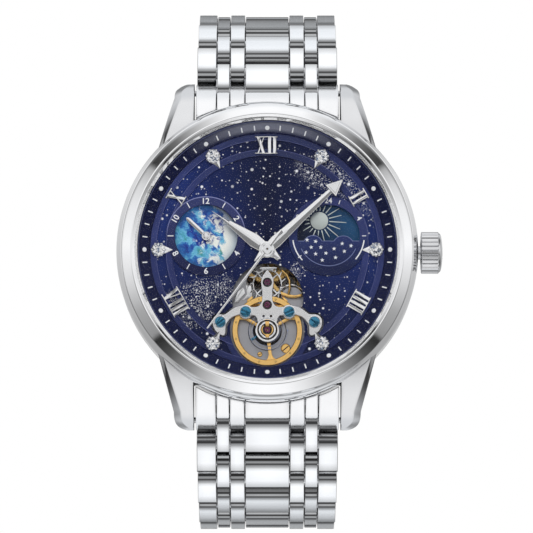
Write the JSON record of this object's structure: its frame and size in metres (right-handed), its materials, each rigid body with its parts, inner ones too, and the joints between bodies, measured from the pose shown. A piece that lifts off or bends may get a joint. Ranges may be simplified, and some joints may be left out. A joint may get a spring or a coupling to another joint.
{
  "type": "wristwatch",
  "caption": "Automatic open-heart wristwatch on a steel link bracelet, standing in its closed loop; starry blue dial with balance opening, second time zone and day-night displays.",
  "frame": {"origin": "centre of the case back's outer face", "axes": "+X to the crown at 3 o'clock, +Z to 12 o'clock, the dial faces -Y"},
  "size_m": [0.0444, 0.0534, 0.0728],
  "materials": {
    "polished_steel": "polished stainless steel",
    "brushed_steel": "fine satin",
    "sapphire": "clear crystal",
    "dial_navy": "gloss lacquer with star specks",
    "dial_violet": "gloss lacquer",
    "globe_print": "printed planet disc",
    "sky_print": "printed day and night disc",
    "movement_plate": "circular grain",
    "gilt_brass": "gilt",
    "blued_steel": "heat-blued steel",
    "ruby": "synthetic ruby",
    "gem": "faceted clear stone",
    "spring_steel": "tempered spring",
    "seal_rubber": "matt"
  },
  "bodies": {
    "case": {"mid_case": "polished_steel", "bezel": "polished_steel", "crystal": "sapphire", "chapter_ring": "dial_navy", "dial": "dial_navy", "hour_numerals": "polished_steel", "hour_gems": "gem", "gem_settings": "polished_steel", "dual_time_ring": "dial_violet", "globe_disc": "globe_print", "day_night_ring": "dial_violet", "main_plate": "movement_plate", "balance_bridge": "brushed_steel", "bridge_screws": "blued_steel", "jewels": "ruby", "train_bridge": "movement_plate", "back_cover": "polished_steel", "back_window": "sapphire", "back_gasket": "seal_rubber", "crown_tube": "brushed_steel", "hairspring": "spring_steel", "end_links": "polished_steel", "spring_bars": "brushed_steel", "mainspring": "spring_steel"},
    "crown_slide": {"crown_seal": "seal_rubber"},
    "crown": {"crown": "polished_steel", "winding_stem": "brushed_steel"},
    "hour_hand": {"hour_hand": "polished_steel"},
    "minute_hand": {"minute_hand": "polished_steel", "center_wheel": "gilt_brass"},
    "second_hand": {"second_hand": "polished_steel", "fourth_wheel": "gilt_brass"},
    "minute_wheel": {"minute_wheel": "gilt_brass"},
    "dual_time_hand": {"dual_time_hand": "polished_steel"},
    "day_night_disc": {"day_night_disc": "sky_print"},
    "barrel": {"barrel": "gilt_brass"},
    "third_wheel": {"third_wheel": "gilt_brass"},
    "escape_wheel": {"escape_wheel": "brushed_steel"},
    "pallet_fork": {"pallet_fork": "gilt_brass"},
    "balance_wheel": {"balance_wheel": "gilt_brass"},
    "rotor": {"rotor": "movement_plate"},
    "link_12_1": {"link_12_1": "polished_steel"},
    "link_12_2": {"link_12_2": "polished_steel"},
    "link_12_3": {"link_12_3": "polished_steel"},
    "link_12_4": {"link_12_4": "polished_steel"},
    "link_12_5": {"link_12_5": "polished_steel"},
    "link_12_6": {"link_12_6": "polished_steel"},
    "link_12_7": {"link_12_7": "polished_steel"},
    "link_12_8": {"link_12_8": "polished_steel"},
    "link_6_1": {"link_6_1": "polished_steel"},
    "link_6_2": {"link_6_2": "polished_steel"},
    "link_6_3": {"link_6_3": "polished_steel"},
    "link_6_4": {"link_6_4": "polished_steel"},
    "link_6_5": {"link_6_5": "polished_steel"},
    "link_6_6": {"link_6_6": "polished_steel"},
    "link_6_7": {"link_6_7": "polished_steel"},
    "link_6_8": {"link_6_8": "polished_steel"},
    "clasp_inner_blade": {"clasp_inner_blade": "brushed_steel"},
    "clasp_middle_blade": {"clasp_middle_blade": "brushed_steel"},
    "clasp_cover": {"clasp_cover": "polished_steel"}
  },
  "joints": [
    {"name": "crown_pull", "type": "slide", "parent": "case", "child": "crown_slide", "axis": [1, 0, 0], "range_m": [0, 0.0012]},
    {"name": "crown_turn", "type": "hinge", "parent": "crown_slide", "child": "crown", "pos_m": [0, -0.0057, 0], "axis": [1, 0, 0], "continuous": true},
    {"name": "minute_hand_turn", "type": "hinge", "parent": "case", "child": "minute_hand", "pos_m": [0, 0, 0], "axis": [0, 1, 0], "continuous": true},
    {"name": "hour_hand_turn", "type": "hinge", "parent": "case", "child": "hour_hand", "pos_m": [0, 0, 0], "axis": [0, 1, 0], "continuous": true},
    {"name": "second_hand_turn", "type": "hinge", "parent": "case", "child": "second_hand", "pos_m": [0, 0, 0], "axis": [0, 1, 0], "continuous": true},
    {"name": "minute_wheel_turn", "type": "hinge", "parent": "case", "child": "minute_wheel", "pos_m": [0, 0, 0.0024], "axis": [0, 1, 0], "continuous": true},
    {"name": "third_wheel_turn", "type": "hinge", "parent": "case", "child": "third_wheel", "pos_m": [0.0039, 0, -0.0022], "axis": [0, 1, 0], "continuous": true},
    {"name": "escape_wheel_turn", "type": "hinge", "parent": "case", "child": "escape_wheel", "pos_m": [0, 0, -0.00441], "axis": [0, 1, 0], "continuous": true},
    {"name": "barrel_turn", "type": "hinge", "parent": "case", "child": "barrel", "pos_m": [-0.00535, 0, 0.00641], "axis": [0, 1, 0], "continuous": true},
    {"name": "dual_time_hand_turn", "type": "hinge", "parent": "case", "child": "dual_time_hand", "pos_m": [-0.0083, 0, 0.0019], "axis": [0, 1, 0], "continuous": true},
    {"name": "day_night_turn", "type": "hinge", "parent": "case", "child": "day_night_disc", "pos_m": [0.0083, 0, 0.0019], "axis": [0, 1, 0], "continuous": true},
    {"name": "pallet_fork_swing", "type": "hinge", "parent": "case", "child": "pallet_fork", "pos_m": [0, 0, -0.00747], "axis": [0, 1, 0], "range_deg": [-6, 6]},
    {"name": "balance_swing", "type": "hinge", "parent": "case", "child": "balance_wheel", "pos_m": [0, 0, -0.01088], "axis": [0, 1, 0], "range_deg": [-270, 270], "stiffness_Nm_per_rad": 0.0000011},
    {"name": "rotor_turn", "type": "hinge", "parent": "case", "child": "rotor", "pos_m": [0, 0, 0], "axis": [0, 1, 0], "continuous": true},
    {"name": "bracelet_12_open", "type": "hinge", "parent": "case", "child": "link_12_1", "pos_m": [0, -0.0016, 0.02255], "axis": [1, 0, 0], "range_deg": [0, 16.4]},
    {"name": "link_12_2_turn", "type": "hinge", "parent": "link_12_1", "child": "link_12_2", "pos_m": [0, 0.00167, 0.02758], "axis": [1, 0, 0], "range_deg": [0, 16.4]},
    {"name": "link_12_3_turn", "type": "hinge", "parent": "link_12_2", "child": "link_12_3", "pos_m": [0, 0.00622, 0.03149], "axis": [1, 0, 0], "range_deg": [0, 16.4]},
    {"name": "link_12_4_turn", "type": "hinge", "parent": "link_12_3", "child": "link_12_4", "pos_m": [0, 0.0117, 0.03395], "axis": [1, 0, 0], "range_deg": [0, 16.4]},
    {"name": "link_12_5_turn", "type": "hinge", "parent": "link_12_4", "child": "link_12_5", "pos_m": [0, 0.01764, 0.03476], "axis": [1, 0, 0], "range_deg": [0, 16.4]},
    {"name": "link_12_6_turn", "type": "hinge", "parent": "link_12_5", "child": "link_12_6", "pos_m": [0, 0.02357, 0.03386], "axis": [1, 0, 0], "range_deg": [0, 16.4]},
    {"name": "link_12_7_turn", "type": "hinge", "parent": "link_12_6", "child": "link_12_7", "pos_m": [0, 0.02901, 0.03133], "axis": [1, 0, 0], "range_deg": [0, 16.4]},
    {"name": "link_12_8_turn", "type": "hinge", "parent": "link_12_7", "child": "link_12_8", "pos_m": [0, 0.03351, 0.02736], "axis": [1, 0, 0], "range_deg": [0, 16.4]},
    {"name": "bracelet_6_open", "type": "hinge", "parent": "case", "child": "link_6_1", "pos_m": [0, -0.0016, -0.02255], "axis": [-1, 0, 0], "range_deg": [0, 16.4]},
    {"name": "link_6_2_turn", "type": "hinge", "parent": "link_6_1", "child": "link_6_2", "pos_m": [0, 0.00167, -0.02758], "axis": [-1, 0, 0], "range_deg": [0, 16.4]},
    {"name": "link_6_3_turn", "type": "hinge", "parent": "link_6_2", "child": "link_6_3", "pos_m": [0, 0.00622, -0.03149], "axis": [-1, 0, 0], "range_deg": [0, 16.4]},
    {"name": "link_6_4_turn", "type": "hinge", "parent": "link_6_3", "child": "link_6_4", "pos_m": [0, 0.0117, -0.03395], "axis": [-1, 0, 0], "range_deg": [0, 16.4]},
    {"name": "link_6_5_turn", "type": "hinge", "parent": "link_6_4", "child": "link_6_5", "pos_m": [0, 0.01764, -0.03476], "axis": [-1, 0, 0], "range_deg": [0, 16.4]},
    {"name": "link_6_6_turn", "type": "hinge", "parent": "link_6_5", "child": "link_6_6", "pos_m": [0, 0.02357, -0.03386], "axis": [-1, 0, 0], "range_deg": [0, 16.4]},
    {"name": "link_6_7_turn", "type": "hinge", "parent": "link_6_6", "child": "link_6_7", "pos_m": [0, 0.02901, -0.03133], "axis": [-1, 0, 0], "range_deg": [0, 16.4]},
    {"name": "link_6_8_turn", "type": "hinge", "parent": "link_6_7", "child": "link_6_8", "pos_m": [0, 0.03351, -0.02736], "axis": [-1, 0, 0], "range_deg": [0, 16.4]},
    {"name": "clasp_end_turn", "type": "hinge", "parent": "link_6_8", "child": "clasp_inner_blade", "pos_m": [0, 0.03671, -0.02228], "axis": [-1, 0, 0], "range_deg": [0, 16.4]},
    {"name": "clasp_open", "type": "hinge", "parent": "clasp_inner_blade", "child": "clasp_middle_blade", "pos_m": [0, 0.03713, 0.01611], "axis": [1, 0, 0], "range_deg": [0, 125]},
    {"name": "clasp_cover_turn", "type": "hinge", "parent": "clasp_middle_blade", "child": "clasp_cover", "pos_m": [0, 0.03744, -0.01864], "axis": [1, 0, 0], "range_deg": [-125, 0]}
  ],
  "couplings": [
    {"joint": "hour_hand_turn", "follows": "minute_hand_turn", "ratio": 0.083333},
    {"joint": "second_hand_turn", "follows": "minute_hand_turn", "ratio": 60},
    {"joint": "minute_wheel_turn", "follows": "minute_hand_turn", "ratio": -0.33333},
    {"joint": "third_wheel_turn", "follows": "minute_hand_turn", "ratio": -8},
    {"joint": "escape_wheel_turn", "follows": "minute_hand_turn", "ratio": -600},
    {"joint": "barrel_turn", "follows": "minute_hand_turn", "ratio": -0.14286},
    {"joint": "dual_time_hand_turn", "follows": "minute_hand_turn", "ratio": 0.083333},
    {"joint": "day_night_turn", "follows": "minute_hand_turn", "ratio": 0.041667},
    {"joint": "link_12_2_turn", "follows": "bracelet_12_open", "ratio": 1},
    {"joint": "link_12_3_turn", "follows": "bracelet_12_open", "ratio": 1},
    {"joint": "link_12_4_turn", "follows": "bracelet_12_open", "ratio": 1},
    {"joint": "link_12_5_turn", "follows": "bracelet_12_open", "ratio": 1},
    {"joint": "link_12_6_turn", "follows": "bracelet_12_open", "ratio": 1},
    {"joint": "link_12_7_turn", "follows": "bracelet_12_open", "ratio": 1},
    {"joint": "link_12_8_turn", "follows": "bracelet_12_open", "ratio": 1},
    {"joint": "link_6_2_turn", "follows": "bracelet_6_open", "ratio": 1},
    {"joint": "link_6_3_turn", "follows": "bracelet_6_open", "ratio": 1},
    {"joint": "link_6_4_turn", "follows": "bracelet_6_open", "ratio": 1},
    {"joint": "link_6_5_turn", "follows": "bracelet_6_open", "ratio": 1},
    {"joint": "link_6_6_turn", "follows": "bracelet_6_open", "ratio": 1},
    {"joint": "link_6_7_turn", "follows": "bracelet_6_open", "ratio": 1},
    {"joint": "link_6_8_turn", "follows": "bracelet_6_open", "ratio": 1},
    {"joint": "clasp_end_turn", "follows": "bracelet_6_open", "ratio": 1},
    {"joint": "clasp_cover_turn", "follows": "clasp_open", "ratio": -1}
  ]
}
